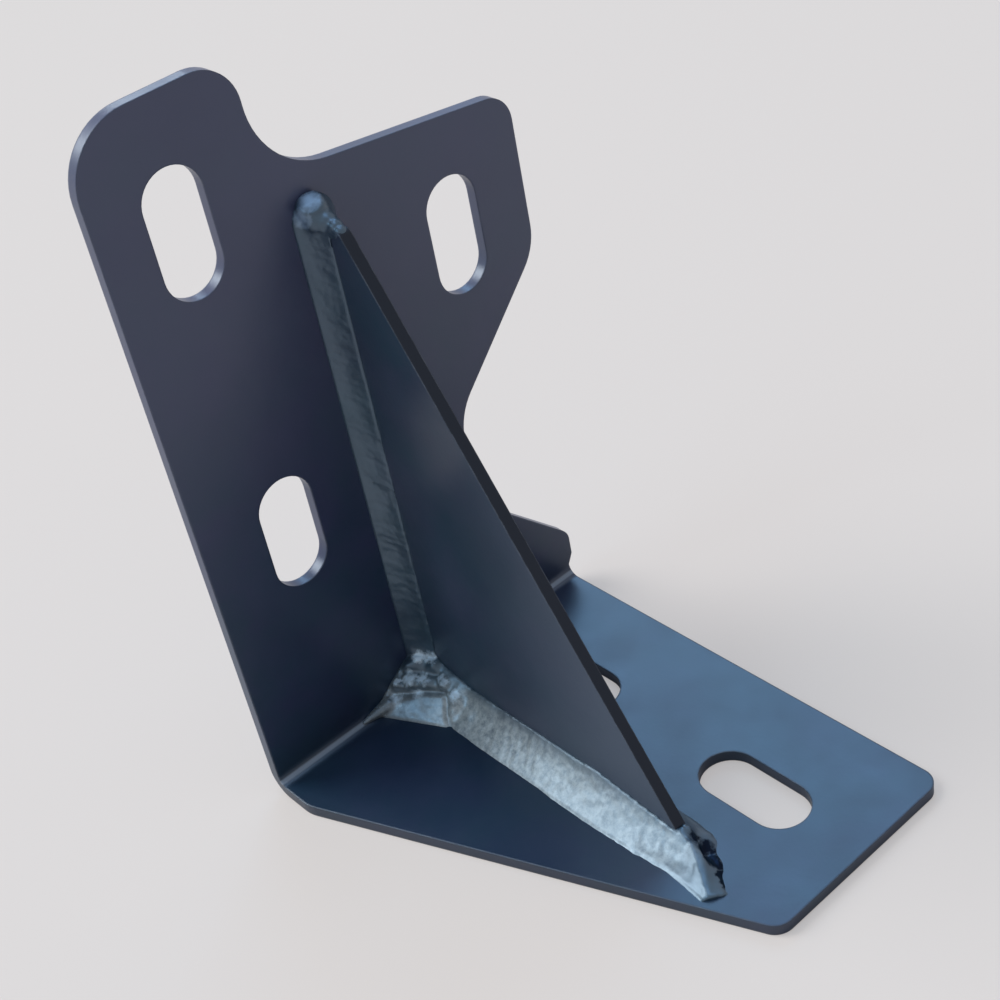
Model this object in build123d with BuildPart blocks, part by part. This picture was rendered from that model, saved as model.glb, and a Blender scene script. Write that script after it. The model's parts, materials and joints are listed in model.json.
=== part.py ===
"""Welded steel support bracket: a folded plate, a triangular gusset and the fillet welds that join them.

Frame: +Z up, the upright leg stands at the back (+Y) and the base leg runs forward (-Y).
The origin is under the middle of the whole bracket, on the plane of the base's underside.
Outlines are drawn from the left end of the bend, outward from the upright's front face
and up from the base's top face. All sizes are in millimetres.
"""

import os
from math import radians, tan

from build123d import *

# ---- sheet ----
sheet_thickness = 3.0
bend_inner_radius = 3.0
bend_width = 100.0
foot_width = 101.6
foot_clip = 3.0
foot_clip_radius = 1.0

# ---- upright leg ----
tab_width = 40.0
tab_rise = 27.4
tab_outer_radius = 15.0
tab_inner_radius = 10.0
shoulder_height = 146.4
shoulder_slope = 7.6
shoulder_root_radius = 19.0
ear_reach = 106.9
ear_bottom = 97.7
ear_tip_radius = 7.5
ear_heel_radius = 14.0
waist_width = 75.5
waist_bottom = 39.0
waist_radius = 16.0
flare_angle = 45.0
foot_radius = 5.0

# ---- base leg ----
base_length = 122.0
taper_start = 11.3
taper_angle = 22.0
taper_root_radius = 9.0
base_near_radius = 5.0
base_far_radius = 4.5

# ---- bolt slots ----
slot_width = 14.6
slot_length = 29.7
upper_left_slot_x = 19.3
upper_left_slot_z = 143.8
lower_left_slot_x = 23.4
lower_left_slot_z = 64.3
ear_slot_x = 85.4
ear_slot_z = 111.2
base_slot_x = 71.3
outer_base_slot_y = 91.1
inner_base_slot_y = 29.7

# ---- gusset ----
gusset_thickness = 3.0
gusset_x = 49.5
gusset_top = 133.0
gusset_nose = 10.5
gusset_length = 89.8
gusset_toe = 3.0
gusset_corner_clip = 6.0
gusset_nose_radius = 2.0

# ---- welds ----
# a leg is measured along the folded plate, a rise along the gusset; the near side is the left one
upright_weld_leg = 4.4
upright_weld_rise = 8.6
base_weld_near_leg = 8.6
base_weld_far_leg = 5.0
base_weld_rise = 8.0
outer_weld_near_leg = 9.2
outer_weld_far_leg = 5.4
outer_weld_length = 24.0
toe_weld_near_leg = 9.2
toe_weld_far_leg = 4.8
toe_weld_rise = 4.4
toe_weld_overrun = 3.0
weld_hollow = 0.8
# the weld runs on past the gusset's toe and thins to a slanting tip
toe_tip_run = 11.2
toe_tip_width = 8.8
toe_tip_turn = 31.0
toe_tip_ridge = 1.8
toe_tip_rise = 1.0
toe_tip_hollow = 0.1
# the pool in the inside corner spreads along the bend and out over the base
corner_weld_reach = 19.7
corner_weld_crown = 13.0
corner_weld_bulge = 0.8
corner_weld_run = 19.4

# ---- places in the bracket's frame ----
left = -ear_reach / 2
front = (base_length - sheet_thickness) / 2
corner = (left, front, sheet_thickness)
right = (1, 0, 0)
outward = (0, -1, 0)
upright_plane = Plane(origin=corner, x_dir=right, z_dir=outward)
base_plane = Plane(origin=corner, x_dir=right, z_dir=(0, 0, -1))
bend_plane = Plane(origin=corner, x_dir=outward, z_dir=(-1, 0, 0))
gusset_foot = (left + gusset_x, front, sheet_thickness)
gusset_plane = Plane(origin=gusset_foot, x_dir=outward, z_dir=(-1, 0, 0))
across_gusset = Plane(origin=gusset_foot, x_dir=right, z_dir=outward)
above_gusset = Plane(origin=gusset_foot, x_dir=right, z_dir=(0, 0, -1))

# ---- outline points that follow from the sizes above ----
slot_separation = slot_length - slot_width
tab_height = shoulder_height + tab_rise
shoulder_root_room = (tab_rise - tab_inner_radius) / tan(radians((90 - shoulder_slope) / 2))
shoulder_root = min(shoulder_root_radius, 0.98 * shoulder_root_room)
ear_top = shoulder_height - (ear_reach - tab_width) * tan(radians(shoulder_slope))
waist_top = ear_bottom - (ear_reach - waist_width) / tan(radians(flare_angle))
foot_top = waist_bottom - (foot_width - waist_width) / tan(radians(flare_angle))
half_gusset = gusset_thickness / 2
base_near_x = (base_length - taper_start) * tan(radians(taper_angle))

with BuildPart() as folded_plate:
    with BuildSketch(upright_plane):
        with BuildLine():
            upright_edge = FilletPolyline(
                (0, bend_inner_radius),
                (0, tab_height),
                (tab_width, tab_height),
                (tab_width, shoulder_height),
                (ear_reach, ear_top),
                (ear_reach, ear_bottom),
                (waist_width, waist_top),
                (waist_width, waist_bottom),
                (foot_width, foot_top),
                (foot_width, bend_inner_radius + foot_clip),
                (bend_width, bend_inner_radius),
                radius=(
                    tab_outer_radius,
                    tab_inner_radius,
                    shoulder_root,
                    ear_tip_radius,
                    ear_heel_radius,
                    waist_radius,
                    waist_radius,
                    foot_radius,
                    foot_clip_radius,
                ),
            )
            Line(upright_edge @ 1, upright_edge @ 0)
        make_face()
        with Locations(
            (upper_left_slot_x, upper_left_slot_z),
            (lower_left_slot_x, lower_left_slot_z),
            (ear_slot_x, ear_slot_z),
        ):
            SlotCenterToCenter(slot_separation, slot_width, rotation=90, mode=Mode.SUBTRACT)
    extrude(amount=-sheet_thickness)

    with BuildSketch(base_plane):
        with BuildLine():
            base_edge = FilletPolyline(
                (0, bend_inner_radius),
                (0, taper_start),
                (base_near_x, base_length),
                (bend_width, base_length),
                (bend_width, bend_inner_radius),
                radius=(taper_root_radius, base_near_radius, base_far_radius),
            )
            Line(base_edge @ 1, base_edge @ 0)
        make_face()
        with Locations((base_slot_x, outer_base_slot_y), (base_slot_x, inner_base_slot_y)):
            SlotCenterToCenter(slot_separation, slot_width, rotation=90, mode=Mode.SUBTRACT)
    extrude(amount=sheet_thickness)

    # the fold: a quarter ring of sheet along the whole bend
    with BuildSketch(bend_plane):
        with Locations((bend_inner_radius, bend_inner_radius)):
            Circle(bend_inner_radius + sheet_thickness)
            Circle(bend_inner_radius, mode=Mode.SUBTRACT)
            Rectangle(
                bend_inner_radius + sheet_thickness,
                bend_inner_radius + sheet_thickness,
                align=(Align.MAX, Align.MAX),
                mode=Mode.INTERSECT,
            )
    extrude(amount=-bend_width)

with BuildPart() as gusset:
    with BuildSketch(gusset_plane) as gusset_profile:
        with BuildLine():
            Polyline(
                (0, gusset_corner_clip),
                (0, gusset_top),
                (gusset_nose, gusset_top),
                (gusset_length, gusset_toe),
                (gusset_length, 0),
                (gusset_corner_clip, 0),
                close=True,
            )
        make_face()
        nose = gusset_profile.vertices().sort_by(Axis.Y)[-2:].sort_by(Axis.X)[-1]
        fillet(nose, gusset_nose_radius)
    extrude(amount=gusset_thickness / 2, both=True)


def bead_section(near_toe, far_toe, crest_left, crest_right, rise, hollow=weld_hollow):
    """Section of a weld bead astride the gusset, hollow from each toe up to its crest."""
    with BuildSketch() as section:
        with BuildLine():
            Line((-near_toe, 0), (far_toe, 0))
            SagittaArc((far_toe, 0), (crest_right, rise), hollow)
            Line((crest_right, rise), (crest_left, rise))
            SagittaArc((crest_left, rise), (-near_toe, 0), hollow)
        make_face()
    return section.sketch


def beside_gusset(near_leg, far_leg, rise, hollow=weld_hollow):
    """The section where the bead lies against both faces of the gusset."""
    near_toe = near_leg + half_gusset
    far_toe = far_leg + half_gusset
    return bead_section(near_toe, far_toe, -half_gusset, half_gusset, rise, hollow)


inner_bead = beside_gusset(base_weld_near_leg, base_weld_far_leg, base_weld_rise)
outer_bead = beside_gusset(outer_weld_near_leg, outer_weld_far_leg, base_weld_rise)

# the weld pool that fills the inside corner on both sides of the gusset and tails off along the bend
corner_leg = corner_weld_reach - half_gusset
pool_end = across_gusset.offset(corner_weld_run)
with BuildPart() as corner_weld:
    with BuildSketch(across_gusset):
        add(beside_gusset(corner_leg, corner_leg, corner_weld_crown, -corner_weld_bulge))
    with BuildSketch(pool_end):
        add(inner_bead)
    loft()
    add(folded_plate.part, mode=Mode.SUBTRACT)
    add(gusset.part, mode=Mode.SUBTRACT)

# the bead up both sides of the gusset on the upright, closed round the gusset's nose
upright_bead = beside_gusset(upright_weld_leg, upright_weld_leg, upright_weld_rise)
nose_plane = above_gusset.offset(-gusset_top)
with BuildPart() as upright_weld:
    with BuildSketch(above_gusset.offset(-bend_inner_radius)):
        add(upright_bead)
    extrude(amount=bend_inner_radius - gusset_top)
    with BuildSketch(nose_plane) as nose_half:
        add(upright_bead)
        Rectangle(base_length, base_length, align=(Align.MAX, Align.CENTER), mode=Mode.SUBTRACT)
    revolve(axis=Axis(nose_plane.origin, outward), revolution_arc=180)
    add(gusset.part, mode=Mode.SUBTRACT)
    add(corner_weld.part, mode=Mode.SUBTRACT)

# the bead along both sides of the gusset on the base, run out past the toe to a slanting tip
toe_bead = bead_section(
    toe_weld_near_leg + half_gusset,
    toe_weld_far_leg + half_gusset,
    -half_gusset,
    half_gusset,
    toe_weld_rise,
)
tip_bead = bead_section(
    0,
    toe_tip_width,
    toe_tip_ridge,
    toe_tip_ridge + toe_tip_rise,
    toe_tip_rise,
    toe_tip_hollow,
)
outer_plane = across_gusset.offset(gusset_length - outer_weld_length)
toe_plane = across_gusset.offset(gusset_length + toe_weld_overrun)
tip_corner = toe_plane.from_local_coords((-toe_weld_near_leg - half_gusset, 0, toe_tip_run))
tip_plane = Plane(origin=tip_corner, x_dir=right, z_dir=outward).rotated((0, 0, -toe_tip_turn))
with BuildPart() as base_weld:
    with BuildSketch(pool_end):
        add(inner_bead)
    with BuildSketch(outer_plane):
        add(outer_bead)
    loft()
    with BuildSketch(outer_plane):
        add(outer_bead)
    with BuildSketch(toe_plane):
        add(toe_bead)
    loft()
    with BuildSketch(toe_plane):
        add(toe_bead)
    with BuildSketch(tip_plane):
        add(tip_bead)
    loft()
    add(gusset.part, mode=Mode.SUBTRACT)

folded_plate.part.label = "folded_plate"
gusset.part.label = "gusset"
corner_weld.part.label = "corner_weld"
upright_weld.part.label = "upright_weld"
base_weld.part.label = "base_weld"

os.makedirs("parts", exist_ok=True)
export_step(folded_plate.part, "parts/folded_plate.step")
export_step(gusset.part, "parts/gusset.step")
export_step(corner_weld.part, "parts/corner_weld.step")
export_step(upright_weld.part, "parts/upright_weld.step")
export_step(base_weld.part, "parts/base_weld.step")
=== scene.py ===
"""Looks for the welded mounting bracket: paint, weld bead, soft studio and camera.

The folded plate and the gusset are the CAD's own meshes with paint on them. The three plain weld
beads are replaced by one piece that is made from them: joined, rippled, lumpy in the corner and
pitted at the toe. Lengths are in metres, or in millimetres where a comment says so.
"""

import json
from math import cos, exp, log, pi, radians, tan

import bmesh
import bpy
from mathutils import Euler, Matrix, Vector, noise


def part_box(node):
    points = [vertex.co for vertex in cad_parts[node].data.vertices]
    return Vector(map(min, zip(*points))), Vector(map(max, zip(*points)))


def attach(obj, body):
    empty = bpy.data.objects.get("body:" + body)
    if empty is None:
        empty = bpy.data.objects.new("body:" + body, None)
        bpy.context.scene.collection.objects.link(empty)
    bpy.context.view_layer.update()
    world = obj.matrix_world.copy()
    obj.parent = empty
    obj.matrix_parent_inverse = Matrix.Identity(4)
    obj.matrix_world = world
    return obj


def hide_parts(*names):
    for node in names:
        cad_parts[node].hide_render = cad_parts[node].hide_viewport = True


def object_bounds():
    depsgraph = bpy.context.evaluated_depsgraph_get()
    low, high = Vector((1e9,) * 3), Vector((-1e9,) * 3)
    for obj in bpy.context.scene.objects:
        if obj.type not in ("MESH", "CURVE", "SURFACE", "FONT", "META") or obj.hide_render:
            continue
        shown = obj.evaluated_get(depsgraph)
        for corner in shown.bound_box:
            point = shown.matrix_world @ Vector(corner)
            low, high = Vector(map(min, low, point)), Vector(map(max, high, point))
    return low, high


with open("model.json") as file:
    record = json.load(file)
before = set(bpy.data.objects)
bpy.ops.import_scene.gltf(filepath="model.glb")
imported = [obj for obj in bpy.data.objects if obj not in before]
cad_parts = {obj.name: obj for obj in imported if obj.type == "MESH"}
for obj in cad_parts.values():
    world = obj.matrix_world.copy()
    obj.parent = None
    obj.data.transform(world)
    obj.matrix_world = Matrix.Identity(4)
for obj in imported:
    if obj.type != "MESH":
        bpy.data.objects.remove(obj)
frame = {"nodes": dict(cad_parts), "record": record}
cad_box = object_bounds()
nodes = frame["nodes"]
scene = bpy.context.scene
MM = 0.001

# ---- colours, as linear values ----
BACKDROP = (0.705, 0.694, 0.699)
FLOOR_COLOUR = (0.624, 0.547, 0.514)
WORLD_LIGHT = (0.435, 0.385, 0.34)
PAINT_DARK = (0.009, 0.018, 0.054)
PAINT_LIGHT = (0.024, 0.032, 0.086)
PAINT_TEAL = (0.008, 0.034, 0.062)
# painted light towards the top of the upright
PAINTED_TOP_LIGHT = (0.052, 0.060, 0.122)
# painted shade, darker and more teal low down and on the base
PAINTED_LOW_SHADE = (0.003, 0.015, 0.030)
PAINT_SHEEN = (0.82, 0.89, 1.0)
# a painted highlight along the bend's hollow
BEND_HIGHLIGHT = (0.20, 0.26, 0.35)
# edge colour: partly wear, partly a painted highlight on the edges
WORN_EDGE_AND_HIGHLIGHT = (0.15, 0.185, 0.24)
GUSSET_DARK = (0.022, 0.036, 0.068)
GUSSET_LIGHT = (0.044, 0.058, 0.100)
GUSSET_TEAL = (0.014, 0.045, 0.070)
# painted light towards the gusset's toe
GUSSET_TOE_LIGHT = (0.056, 0.074, 0.112)
GUSSET_CUT = (0.012, 0.016, 0.026)
WELD_DARK = (0.011, 0.024, 0.044)
WELD_LIGHT = (0.032, 0.054, 0.082)
WELD_TEAL = (0.013, 0.042, 0.062)
WELD_SHEEN = (0.62, 0.80, 1.0)
# painted highlights on the weld: a band on the base bead, then spots in the corner and on the hood
WELD_BAND_HIGHLIGHT = (0.45, 0.51, 0.54)
WELD_SPOT_HIGHLIGHT = (0.56, 0.74, 0.92)
HOOD_HIGHLIGHT = (0.16, 0.24, 0.36)
# painted shade in the crater at the toe, dark and with bare metal
CRATER_SHADE = (0.006, 0.009, 0.018)

# ---- camera ----
CAMERA_PLACE = (-0.17771, -0.23313, 0.30299)
CAMERA_TURN = (51.964, 9.457, -42.215)
CAMERA_SENSOR = 36
CAMERA_LENS = 62.9
CAMERA_SHIFT_Y = 0.0333

# ---- studio ----
LAMP_TARGET = (0, 0, 0.05)
LAMP_DISTANCE = 6.0
# name, direction it stands in, width and height in degrees as the object sees it, radiance, colour
SOFTBOXES = (
    ("back_left", (-0.43, 0.61, 0.67), (26, 40), 8.7, (0.95, 1, 0.99)),
    ("left", (-0.71, 0.07, 0.70), (20, 18), 5.2, (0.50, 0.80, 1)),
    ("overhead", (0.14, 0.0, 0.99), (34, 22), 3.2, (0.42, 0.68, 1)),
    ("back_right", (0.50, 0.55, 0.67), (26, 22), 4.2, (0.27, 0.62, 1)),
    ("back", (0.33, 0.87, 0.39), (14, 8), 5.2, (0.80, 0.93, 1)),
)
FLOOR_HALF = 9.0
FLOOR_GAP = 0.2 * MM
FLOOR_ROUGHNESS = 0.9
FLOOR_GLOSS = 0.1
# how much of the floor's look is the backdrop's own colour near the bracket; it grows to all of it
# between these two distances
FLOOR_GLOW = 0.5
FLOOR_GLOW_FROM_TO = (0.25, 1.1)

# ---- places on the bracket ----
GUSSET_LOW, GUSSET_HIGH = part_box("gusset")
# the upright's front face, the base's top face and the top of the gusset
FRONT_Y = GUSSET_HIGH.y
BASE_Z = GUSSET_LOW.z
TOP_Z = GUSSET_HIGH.z
GUSSET_X = (GUSSET_LOW.x + GUSSET_HIGH.x) / 2
HALF_GUSSET = (GUSSET_HIGH.x - GUSSET_LOW.x) / 2
GUSSET_LENGTH = GUSSET_HIGH.y - GUSSET_LOW.y
# how far the middle of the bend's hollow lies from each of the two faces
BEND_RADIUS = 3 * MM
BEND_HOLLOW = BEND_RADIUS * (1 - cos(pi / 4))

# ---- paint: noises, as cells per metre, detail, roughness and a shift that sets each apart ----
CLOUDS = (22, 5, 0.6, 3.0)
TINTS = (45, 4, 0.6, 11.0)
SCUFFS = (260, 5, 0.7, 5.0)
SMUDGES = (60, 6, 0.65, 7.0)
PEEL = (1100, 2, 0.5, 1.0)
GRAIN = (140, 3, 0.5, 9.0)
# mottles the painted highlight on the base bead
BAND_HIGHLIGHT_GRAIN = (650, 4, 0.7, 2.0)
RAGGED = (500, 3, 0.6, 4.0)

# ---- paint: shares and reaches; a pair is where it starts and where it is full ----
TINT_SHARE = 0.6
EDGE_TURN = (0.985, 0.80)
RUB_ROUGHNESS = 0.08
PEEL_SHARE = 0.35
BUMP_STRENGTH = 0.10
BUMP_DISTANCE = 0.4 * MM
# painted light towards the top of the upright
TOP_LIGHT_HEIGHT = (60 * MM, 115 * MM)
TOP_LIGHT_SHARE = 0.60
# painted shade low down and on the base
LOW_SHADE_HEIGHT = (14 * MM, 4 * MM)
LOW_SHADE_SHARE = 0.55
# a painted highlight along the bend's hollow
BEND_HIGHLIGHT_REACH = (0.8 * MM, 0.35 * MM)
BEND_HIGHLIGHT_SHARE = 0.85
# painted light along the gusset towards its toe
TOE_LIGHT_ALONG = (34 * MM, -12 * MM)
# a face of the gusset counts as its cut edge when it hardly looks sideways
CUT_SIDEWAYS = (0.7, 0.3)
CUT_BARENESS = 0.55
# the painted highlight on the base bead: its share from the toe to the corner, then axis by axis
# where it starts and is full, then its weaker end in the corner
BAND_HIGHLIGHT_ALONG = (-30 * MM, 34 * MM)
BAND_HIGHLIGHT_SHARES = (0.48, 0.95)
BAND_HIGHLIGHT_LIMITS = (("Z", 13 * MM, 7 * MM), ("Y", -40 * MM, -31 * MM), ("X", -5 * MM, -7 * MM))
BAND_HIGHLIGHT_END = (50 * MM, 42 * MM)
BAND_HIGHLIGHT_LEAST = 0.30
# painted highlight spots and the crater's painted shade: share and core
HIGHLIGHT_SPOT_SHARE = 0.9
HIGHLIGHT_SPOT_CORE = 0.4
CRATER_SHADE_CORE = 0.6
RAGGED_REACH = 0.8 * MM

# ---- weld: spots of painted highlight and painted shade, as place and reach in millimetres ----
# painted shade in the crater at the toe
CRATER_SHADE_SPOTS = (
    ((-3.2, -33.8, 6.6), 2.8),
    ((-2.8, -36.0, 5.2), 3.5),
    ((-4.0, -38.6, 4.6), 3.2),
    ((-4.4, -40.6, 3.6), 2.2),
    ((-5.6, -43.0, 3.5), 1.9),
    ((-6.8, -45.2, 3.4), 1.7),
)
# painted highlights on the corner lumps
CORNER_HIGHLIGHTS = (
    ((-8.6, 56.1, 14.6), 1.9),
    ((-7.0, 53.2, 14.4), 1.9),
    ((-5.8, 50.6, 19.8), 1.2),
    ((-15.8, 57.9, 10.2), 1.4),
    ((-13.0, 55.2, 10.6), 2.3),
    ((-11.2, 52.4, 10.8), 2.0),
    ((-8.2, 47.8, 10.8), 1.7),
    ((-8.8, 43.4, 8.6), 1.9),
    ((-13.0, 53.0, 6.4), 2.6),
    ((-17.0, 56.4, 5.4), 2.4),
    ((-20.6, 58.0, 4.6), 1.9),
)
# painted highlights on the weld's top
HOOD_HIGHLIGHTS = (
    ((-5.4, 57.2, 142.0), 3.2),
    ((-8.0, 57.4, 138.6), 2.8),
)

# ---- weld: shape ----
WELD_NODES = ("upright_weld", "base_weld", "corner_weld")
VOXEL = 0.38 * MM
RELAX_FACTOR = 0.5
RELAX_STEPS = 5
BLOB_SUBDIVISIONS = 3
TAIL_SEGMENTS = 24
# weld metal added at the top and at the gusset's nose: place and radius in millimetres
BLOBS = (
    ((-5.0, 57.6, 139.4), 3.1),
    ((-4.8, 56.8, 137.0), 3.3),
    ((-4.2, 54.6, 136.4), 2.6),
    ((-3.95, 52.4, 135.9), 1.9),
    ((-3.95, 50.4, 135.2), 1.6),
)
# its tail in the bend: the two ends and their radii in millimetres
TAIL_ENDS = ((-18.5, 57.7, 5.0), (-27.5, 58.6, 4.0))
TAIL_RADII = (2.1, 0.5)
# lumps in the corner and at the toe: place, radius and height in millimetres
LUMPS = (
    ((-8.6, 56.1, 13.6), 2.0, 1.4),
    ((-11.2, 57.0, 12.0), 1.6, 1.2),
    ((-7.4, 52.0, 12.8), 1.8, 1.3),
    ((-15.5, 57.9, 9.2), 1.4, 1.4),
    ((-13.4, 54.9, 9.5), 1.7, 1.7),
    ((-11.4, 51.6, 9.7), 2.0, 1.3),
    ((-8.4, 47.4, 10.4), 1.7, 1.3),
    ((-9.0, 42.6, 7.8), 2.4, 1.0),
    ((-10.0, 37.0, 6.0), 2.2, 0.5),
    ((-5.8, 50.6, 19.4), 1.5, 0.9),
    ((-5.0, 57.6, 140.5), 3.4, 1.0),
    ((-2.4, -33.6, 6.2), 2.3, -1.7),
    ((-2.8, -37.6, 5.0), 2.3, -1.5),
    ((1.4, -37.0, 3.4), 1.8, 0.7),
    ((-1.0, -42.0, 3.6), 1.8, 0.7),
)
# creases between them: the two ends, radius and depth in millimetres
CREASES = (
    ((-17.6, 57.6, 7.6), (-9.6, 46.4, 8.6), 1.0, 1.0),
    ((-13.0, 57.6, 11.0), (-7.8, 49.4, 11.6), 0.8, 0.6),
    ((-10.6, 44.8, 7.6), (-13.4, 41.0, 3.6), 1.0, 0.8),
    ((-3.6, -40.0, 4.2), (-8.0, -46.6, 3.4), 0.9, 0.7),
)
# a lump or a crease is left out where the square of its distance in radii is above this
FELT = 6
# the place is shaken by this before lumps and creases are looked up: cells per metre, millimetres
SHAKE = (240, 1.1)
# the shaking's offsets come from this seed, and would come from the clock without it
NOISE_SEED = 1
RIPPLE_PITCH = 2.6 * MM
RIPPLE_HEIGHT = 0.045 * MM
# the power that points the crests, and about their mean, which is taken off
RIPPLE_POINTED = 1.6
RIPPLE_MEAN = 0.4
# how far a ripple runs along the bead for each metre across it
RIPPLE_SLANT = 0.5
# cells per metre of the noise that makes ripples stronger and weaker, their mean and their change
RIPPLE_STRENGTH = (150, 0.75, 0.8)
# the corner's pool has none: they grow over these distances from it
RIPPLES_FROM_TO = (20 * MM, 32 * MM)
# half the width over which they turn from the upright's direction to the base's
RIPPLE_TURN = 4 * MM
# how the ripples wander and how uneven the skin is: cells per metre and height in millimetres
WANDER = ((90, 1.6), (260, 0.7))
UNEVEN = ((110, 0.30), (330, 0.14), (900, 0.05))
# near its toe lines the skin keeps this share of the swell, so that they stay nearly straight
TOE_SHARE = 0.3
TOE_WIDTH = 1.6 * MM
# the skin stands off the plain bead by SEAT, and sinks into a plate by up to SINK where it is
# closer to it than FEATHER, but not into the gusset's sides in the last NOSE_DROP below its top
SEAT = 0.06 * MM
SINK = 0.35 * MM
FEATHER = 0.6 * MM
NOSE_DROP = 4 * MM
# the top of the bead is cut by a slanting facet with a soft rim: its height over one point, the
# point's x and y, its slopes, its unevenness and the rim's softness, in millimetres
HOOD_TOP = 142.2
HOOD_POINT = (-4, 57)
HOOD_SLOPES = (0.30, 0.45)
HOOD_UNEVEN = (400, 0.35)
HOOD_SOFTNESS = 0.5
# the cut is left out further below the facet than this many softnesses
HOOD_FELT = -8


# ---------------------------------------------------------------- studio


def add_camera():
    data = bpy.data.cameras.new("camera")
    data.sensor_width = CAMERA_SENSOR
    data.lens = CAMERA_LENS
    data.shift_y = CAMERA_SHIFT_Y
    data.clip_start = 0.01
    camera = bpy.data.objects.new("camera", data)
    camera.location = CAMERA_PLACE
    camera.rotation_euler = Euler([radians(a) for a in CAMERA_TURN], "XYZ")
    scene.collection.objects.link(camera)
    scene.camera = camera


def add_softbox(name, direction, spread, radiance, colour):
    """A lamp far off in that direction, of that width and height in degrees."""
    data = bpy.data.lights.new(name, "AREA")
    data.shape = "RECTANGLE"
    data.size, data.size_y = (2 * LAMP_DISTANCE * tan(radians(a / 2)) for a in spread)
    data.energy = pi * data.size * data.size_y * radiance
    data.color = colour
    light = bpy.data.objects.new(name, data)
    away = Vector(direction).normalized()
    light.location = Vector(LAMP_TARGET) + away * LAMP_DISTANCE
    light.rotation_euler = (-away).to_track_quat("-Z", "Y").to_euler()
    light.visible_camera = False
    scene.collection.objects.link(light)


def add_floor():
    """A floor that turns into the backdrop further off, so that no horizon shows."""
    mesh = bpy.data.meshes.new("floor")
    s = FLOOR_HALF
    mesh.from_pydata([(-s, -s, 0), (s, -s, 0), (s, s, 0), (-s, s, 0)], [], [(0, 1, 2, 3)])
    floor = bpy.data.objects.new("floor", mesh)
    floor.location.z = cad_box[0][2] - FLOOR_GAP
    scene.collection.objects.link(floor)
    g = Graph("floor")
    g.feed("Base Color", (*FLOOR_COLOUR, 1))
    g.feed("Roughness", FLOOR_ROUGHNESS)
    g.feed("Specular IOR Level", FLOOR_GLOSS)
    glow = g.node("ShaderNodeEmission", {"Color": (*BACKDROP, 1), "Strength": 1.0})
    share = g.remap(g.distance((0, 0, 0)), *FLOOR_GLOW_FROM_TO, FLOOR_GLOW, 1.0)
    camera_ray = g.node("ShaderNodeLightPath").outputs["Is Camera Ray"]
    seen = g.math("MULTIPLY", camera_ray, share)
    both = g.node("ShaderNodeMixShader", {0: seen, 1: g.shader.outputs[0], 2: glow.outputs[0]})
    g.links.new(both.outputs[0], g.nodes["Material Output"].inputs["Surface"])
    mesh.materials.append(g.material)


def add_world():
    """The backdrop's colour to the camera and in reflections; a plain even light elsewhere."""
    world = bpy.data.worlds.new("world")
    scene.world = world
    world.use_nodes = True
    tree = world.node_tree
    shade = tree.nodes["Background"]
    shade.inputs["Color"].default_value = (*WORLD_LIGHT, 1)
    shown = tree.nodes.new("ShaderNodeBackground")
    shown.inputs["Color"].default_value = (*BACKDROP, 1)
    path = tree.nodes.new("ShaderNodeLightPath")
    seen = path.outputs["Is Camera Ray"]
    for name in ("Is Glossy Ray", "Is Transmission Ray"):
        either = tree.nodes.new("ShaderNodeMath")
        either.operation = "MAXIMUM"
        tree.links.new(seen, either.inputs[0])
        tree.links.new(path.outputs[name], either.inputs[1])
        seen = either.outputs[0]
    mix = tree.nodes.new("ShaderNodeMixShader")
    tree.links.new(seen, mix.inputs[0])
    tree.links.new(shade.outputs[0], mix.inputs[1])
    tree.links.new(shown.outputs[0], mix.inputs[2])
    tree.links.new(mix.outputs[0], tree.nodes["World Output"].inputs["Surface"])


# ---------------------------------------------------------------- materials


class Graph:
    """A short way to write a material's nodes."""

    def __init__(self, name):
        self.material = bpy.data.materials.new(name)
        self.material.use_nodes = True
        self.nodes = self.material.node_tree.nodes
        self.links = self.material.node_tree.links
        self.shader = self.nodes["Principled BSDF"]
        self.place = self.nodes.new("ShaderNodeTexCoord").outputs["Object"]
        self.facing = self.nodes.new("ShaderNodeNewGeometry").outputs["Normal"]

    def put(self, socket, value):
        """Links a socket to another one, or sets it to a value."""
        if isinstance(value, bpy.types.NodeSocket):
            self.links.new(value, socket)
        else:
            socket.default_value = value

    def node(self, kind, inputs=(), **settings):
        node = self.nodes.new(kind)
        for key, value in settings.items():
            setattr(node, key, value)
        for key, value in dict(inputs).items():
            self.put(node.inputs[key], value)
        return node

    def noise(self, scale, detail, rough, seed):
        """Even noise; scale is in cells per metre."""
        moved = self.node("ShaderNodeVectorMath", {0: self.place, 1: (seed, seed, seed)})
        inputs = {"Vector": moved.outputs[0], "Scale": scale, "Detail": detail, "Roughness": rough}
        return self.node("ShaderNodeTexNoise", inputs).outputs["Fac"]

    def remap(self, value, low, high, to_low=0.0, to_high=1.0):
        inputs = {"Value": value, 1: low, 2: high, 3: to_low, 4: to_high}
        return self.node("ShaderNodeMapRange", inputs).outputs["Result"]

    def mix(self, factor, a, b):
        """From colour a to colour b."""
        node = self.node("ShaderNodeMix", {"Factor": factor}, data_type="RGBA")
        self.put(node.inputs[6], a)
        self.put(node.inputs[7], b)
        return node.outputs[2]

    def math(self, operation, a, b=0.0):
        return self.node("ShaderNodeMath", {0: a, 1: b}, operation=operation).outputs[0]

    def along(self, axis):
        """The place along one axis, in metres."""
        return self.node("ShaderNodeSeparateXYZ", {0: self.place}).outputs[axis]

    def distance(self, centre, axes=(1, 1, 1)):
        """Distance from a point, or from a line through it where axes leaves one out."""
        flat = self.node("ShaderNodeVectorMath", {0: self.place, 1: axes}, operation="MULTIPLY")
        inputs = {0: flat.outputs[0], 1: tuple(centre)}
        return self.node("ShaderNodeVectorMath", inputs, operation="DISTANCE").outputs["Value"]

    def feed(self, name, value):
        """Feeds one input of the material's own shader."""
        self.put(self.shader.inputs[name], value)


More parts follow.
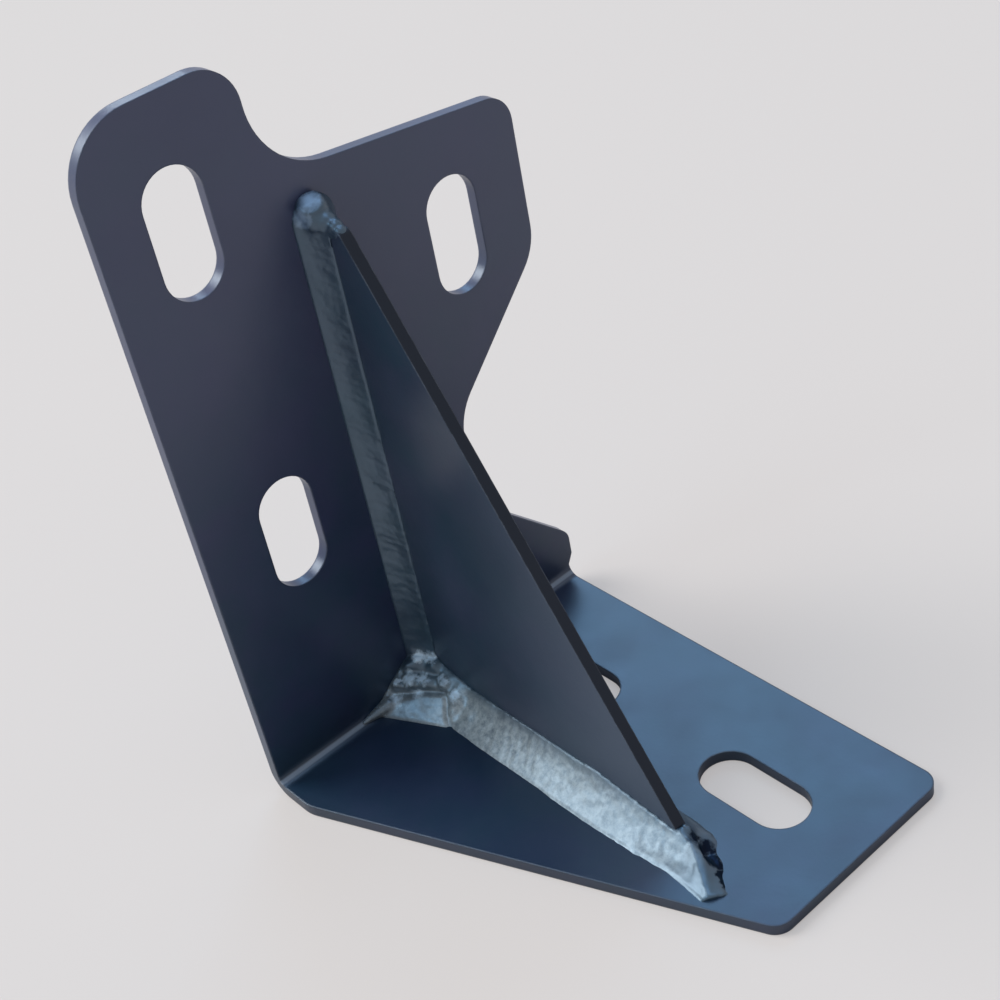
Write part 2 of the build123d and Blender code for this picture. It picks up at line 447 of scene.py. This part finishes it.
def paint_material(
    name,
    tones,
    local,
    edge_radius=0.6 * MM,
    roughness=(0.29, 0.38),
    ior=1.55,
    gloss=0.44,
    edge_wear_and_highlight=0.35,
    sheen=PAINT_SHEEN,
):
    """Blue-black paint: cloudy colour, orange-peel skin, softened edges made a little lighter,
    partly as wear and partly as a painted highlight.

    tones are a dark, a light and a third colour for the clouds. local(g, base) gives back the
    base colour with the painted light, painted shade and other colour that belong to certain
    places of that piece, and how bare the metal is.
    """
    dark, light, tint = tones
    g = Graph(name)
    clouds = g.remap(g.noise(*CLOUDS), 0.35, 0.65)
    tinted = g.remap(g.noise(*TINTS), 0.40, 0.62)
    base = g.mix(clouds, (*dark, 1), (*light, 1))
    base = g.mix(g.math("MULTIPLY", tinted, TINT_SHARE), base, (*tint, 1))
    base, bare = local(g, base)
    # the edges are rounded in shading only, and made a little lighter: partly wear, partly a
    # painted highlight
    soft = g.node("ShaderNodeBevel", {"Radius": edge_radius}, samples=6)
    sides = {0: soft.outputs[0], 1: g.facing}
    turn = g.node("ShaderNodeVectorMath", sides, operation="DOT_PRODUCT").outputs["Value"]
    scuffs = g.remap(g.noise(*SCUFFS), 0.38, 0.62, 0.3, 1.0)
    wear_and_highlight = g.math("MULTIPLY", g.remap(turn, *EDGE_TURN), scuffs)
    base = g.mix(g.math("MULTIPLY", wear_and_highlight, edge_wear_and_highlight), base, (*WORN_EDGE_AND_HIGHLIGHT, 1))
    g.feed("Base Color", base)
    g.feed("Metallic", bare)
    rough = g.remap(g.noise(*SMUDGES), 0.3, 0.7, *roughness)
    g.feed("Roughness", g.math("ADD", rough, g.math("MULTIPLY", wear_and_highlight, RUB_ROUGHNESS)))
    peel = g.math("MULTIPLY", g.noise(*PEEL), PEEL_SHARE)
    skin = {
        "Strength": BUMP_STRENGTH,
        "Distance": BUMP_DISTANCE,
        "Height": g.math("ADD", peel, g.noise(*GRAIN)),
        "Normal": soft.outputs[0],
    }
    g.feed("Normal", g.node("ShaderNodeBump", skin).outputs["Normal"])
    g.feed("IOR", ior)
    g.feed("Specular IOR Level", gloss)
    g.feed("Specular Tint", (*sheen, 1))
    return g.material


def plate_places(g, base):
    """Painted light towards the top, painted shade low down and on the base, and a painted
    highlight along the bend's hollow.
    """
    # painted light towards the top of the upright
    top_light = g.math("MULTIPLY", g.remap(g.along("Z"), *TOP_LIGHT_HEIGHT), TOP_LIGHT_SHARE)
    base = g.mix(top_light, base, (*PAINTED_TOP_LIGHT, 1))
    # painted shade low down and on the base
    low_shade = g.math("MULTIPLY", g.remap(g.along("Z"), *LOW_SHADE_HEIGHT), LOW_SHADE_SHARE)
    base = g.mix(low_shade, base, (*PAINTED_LOW_SHADE, 1))
    # a painted highlight along the bend's hollow
    hollow = g.distance((0, FRONT_Y - BEND_HOLLOW, BASE_Z + BEND_HOLLOW), (0, 1, 1))
    line = g.remap(hollow, *BEND_HIGHLIGHT_REACH, 0, BEND_HIGHLIGHT_SHARE)
    return g.mix(line, base, (*BEND_HIGHLIGHT, 1)), 0.0


def gusset_places(g, base):
    """Painted light, lighter towards the toe, and dark, half-bare metal on the cut edge of the
    sheet.
    """
    # painted light towards the toe
    base = g.mix(g.remap(g.along("Y"), *TOE_LIGHT_ALONG), base, (*GUSSET_TOE_LIGHT, 1))
    sideways = g.node("ShaderNodeSeparateXYZ", {0: g.facing}).outputs["X"]
    on_edge = g.remap(g.math("ABSOLUTE", sideways), *CUT_SIDEWAYS)
    return g.mix(on_edge, base, (*GUSSET_CUT, 1)), g.math("MULTIPLY", on_edge, CUT_BARENESS)


def weld_places(g, base):
    """Painted highlights: a band on the near base bead, spots on the corner lumps and the hood;
    painted shade: a dark, bare crater at the toe.
    """
    # a painted highlight along the near base bead
    band_highlight = g.remap(g.along("Y"), *BAND_HIGHLIGHT_ALONG, *BAND_HIGHLIGHT_SHARES)
    for axis, start, full in BAND_HIGHLIGHT_LIMITS:
        band_highlight = g.math("MULTIPLY", band_highlight, g.remap(g.along(axis), start, full))
    band_highlight = g.math("MULTIPLY", band_highlight, g.remap(g.along("Y"), *BAND_HIGHLIGHT_END, BAND_HIGHLIGHT_LEAST, 1.0))
    highlight_mottle = g.remap(g.noise(*BAND_HIGHLIGHT_GRAIN), 0.30, 0.64, 0.30, 1.0)
    base = g.mix(g.math("MULTIPLY", band_highlight, highlight_mottle), base, (*WELD_BAND_HIGHLIGHT, 1))
    ragged = g.remap(g.noise(*RAGGED), 0.3, 0.7, -RAGGED_REACH, RAGGED_REACH)

    def spot(place, reach, core, share=1.0):
        """From nothing at its reach to its share at a part of that, with a ragged rim."""
        near = g.math("ADD", g.distance([c * MM for c in place]), ragged)
        return g.remap(near, reach * MM, core * reach * MM, 0, share)

    # painted highlights on the corner lumps and the weld's top
    for colour, spots in ((WELD_SPOT_HIGHLIGHT, CORNER_HIGHLIGHTS), (HOOD_HIGHLIGHT, HOOD_HIGHLIGHTS)):
        for place, reach in spots:
            base = g.mix(spot(place, reach, HIGHLIGHT_SPOT_CORE, HIGHLIGHT_SPOT_SHARE), base, (*colour, 1))
    bare = 0.0
    # painted shade: the crater made dark and bare
    for place, reach in CRATER_SHADE_SPOTS:
        crater_shade = spot(place, reach, CRATER_SHADE_CORE)
        base = g.mix(crater_shade, base, (*CRATER_SHADE, 1))
        bare = g.math("MAXIMUM", crater_shade, bare)
    return base, bare


# ---------------------------------------------------------------- weld bead


def smooth_step(value, low, high):
    t = max(0.0, min(1.0, (value - low) / (high - low)))
    return t * t * (3 - 2 * t)


def line_distance(p, a, b):
    along = b - a
    t = max(0.0, min(1.0, (p - a).dot(along) / along.length_squared))
    return (p - a - along * t).length


def layered_noise(p, layers):
    """Layers of noise at a point, each with its cells per metre and its height in millimetres."""
    return sum(noise.noise(p * scale) * height * MM for scale, height in layers)


def bell(gap):
    """The height of a lump of 1, by the square of the distance from its middle in radii."""
    return exp(-gap) if gap < FELT else 0.0


def weld_swell(p):
    """How far the weld's skin stands off the plain bead at a point, in metres."""
    out = FRONT_Y - p.y
    up = p.z - BASE_Z
    on_upright = smooth_step(up - out, -RIPPLE_TURN, RIPPLE_TURN)
    along = on_upright * up + (1 - on_upright) * out
    across = on_upright * out + (1 - on_upright) * up
    phase = (along + RIPPLE_SLANT * across + layered_noise(p, WANDER)) / RIPPLE_PITCH
    crest = 0.5 + 0.5 * cos(2 * pi * phase)
    fade = smooth_step(max(out, up), *RIPPLES_FROM_TO)
    scale, mean, change = RIPPLE_STRENGTH
    strength = RIPPLE_HEIGHT * fade * (mean + change * noise.noise(p * scale))
    swell = strength * (crest**RIPPLE_POINTED - RIPPLE_MEAN) + layered_noise(p, UNEVEN)
    scale, reach = SHAKE
    q = p / MM + noise.noise_vector(p * scale) * reach
    for place, radius, height in LUMPS:
        gap = (q - Vector(place)).length_squared / radius**2
        swell += height * MM * bell(gap)
    for start, end, radius, depth in CREASES:
        gap = (line_distance(q, Vector(start), Vector(end)) / radius) ** 2
        swell -= depth * MM * bell(gap)
    toe = smooth_step(min(up, out), 0, TOE_WIDTH)
    return swell * (TOE_SHARE + (1 - TOE_SHARE) * toe)


def seat(p):
    """Sinks the skin into the plate and the gusset, so that no edge of it stands off them."""
    out = FRONT_Y - p.y
    up = p.z - BASE_Z
    side = abs(p.x - GUSSET_X) - HALF_GUSSET
    if up < FEATHER:
        p.z -= SINK * (1 - max(0.0, up) / FEATHER)
    if out < FEATHER:
        p.y += SINK * (1 - max(0.0, out) / FEATHER)
    if side < FEATHER and p.z < TOP_Z - NOSE_DROP and out < GUSSET_LENGTH:
        p.x += (SINK if p.x < GUSSET_X else -SINK) * (1 - max(0.0, side) / FEATHER)


def trim_hood(p):
    """Cuts the top of the bead to one slanting facet with a soft rim."""
    if p.z <= TOP_Z:
        return
    q = p / MM
    scale, height = HOOD_UNEVEN
    facet = HOOD_TOP + height * noise.noise(p * scale)
    facet += HOOD_SLOPES[0] * (q.x - HOOD_POINT[0]) + HOOD_SLOPES[1] * (q.y - HOOD_POINT[1])
    over = (q.z - facet) / HOOD_SOFTNESS
    if over > HOOD_FELT:
        p.z -= HOOD_SOFTNESS * log(1 + exp(over)) * MM


def joined_beads():
    """The three plain beads with the blobs and the tail, as one mesh of closed shells."""
    joined = bmesh.new()
    for name in WELD_NODES:
        joined.from_mesh(nodes[name].data)
    for place, radius in BLOBS:
        bmesh.ops.create_icosphere(
            joined,
            subdivisions=BLOB_SUBDIVISIONS,
            radius=radius * MM,
            matrix=Matrix.Translation(Vector(place) * MM),
        )
    start, end = (Vector(place) * MM for place in TAIL_ENDS)
    turn = (end - start).to_track_quat("Z", "Y").to_matrix().to_4x4()
    bmesh.ops.create_cone(
        joined,
        cap_ends=True,
        segments=TAIL_SEGMENTS,
        radius1=TAIL_RADII[0] * MM,
        radius2=TAIL_RADII[1] * MM,
        depth=(end - start).length,
        matrix=Matrix.Translation((start + end) / 2) @ turn,
    )
    mesh = bpy.data.meshes.new("weld_bead")
    joined.to_mesh(mesh)
    joined.free()
    return mesh


def add_weld(paint):
    """One weld bead round the gusset: rippled, uneven, pooled in the corner."""
    plain = joined_beads()
    weld = bpy.data.objects.new("weld_bead", plain)
    scene.collection.objects.link(weld)
    remesh = weld.modifiers.new("remesh", "REMESH")
    remesh.mode = "VOXEL"
    remesh.voxel_size = VOXEL
    relax = weld.modifiers.new("relax", "SMOOTH")
    relax.factor = RELAX_FACTOR
    relax.iterations = RELAX_STEPS
    bpy.context.view_layer.update()
    graph = bpy.context.evaluated_depsgraph_get()
    skin = bpy.data.meshes.new_from_object(weld.evaluated_get(graph))
    weld.modifiers.clear()
    weld.data = skin
    bpy.data.meshes.remove(plain)
    normals = [v.normal.copy() for v in skin.vertices]
    for vertex, normal in zip(skin.vertices, normals):
        vertex.co += normal * (SEAT + weld_swell(vertex.co))
        seat(vertex.co)
        trim_hood(vertex.co)
    for face in skin.polygons:
        face.use_smooth = True
    skin.materials.clear()
    skin.materials.append(paint)
    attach(weld, "root")
    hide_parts(*WELD_NODES)


# ---------------------------------------------------------------- scene

scene.view_settings.view_transform = "Standard"
noise.seed_set(NOISE_SEED)
finishes = {
    "painted_plate": paint_material(
        "plate_paint", (PAINT_DARK, PAINT_LIGHT, PAINT_TEAL), plate_places, gloss=0.62
    ),
    "painted_gusset": paint_material(
        "gusset_paint",
        (GUSSET_DARK, GUSSET_LIGHT, GUSSET_TEAL),
        gusset_places,
        edge_radius=0.5 * MM,
        edge_wear_and_highlight=0.9,
    ),
    "painted_weld": paint_material(
        "weld_paint",
        (WELD_DARK, WELD_LIGHT, WELD_TEAL),
        weld_places,
        edge_radius=0.3 * MM,
        roughness=(0.32, 0.44),
        ior=1.6,
        gloss=1.0,
        edge_wear_and_highlight=0.0,
        sheen=WELD_SHEEN,
    ),
}
for entry in frame["record"]["subparts"]:
    node = nodes[entry["node"]]
    node.data.materials.clear()
    node.data.materials.append(finishes[entry["material_slot"]])

add_weld(finishes["painted_weld"])
add_camera()
add_world()
add_floor()
for softbox in SOFTBOXES:
    add_softbox(*softbox)
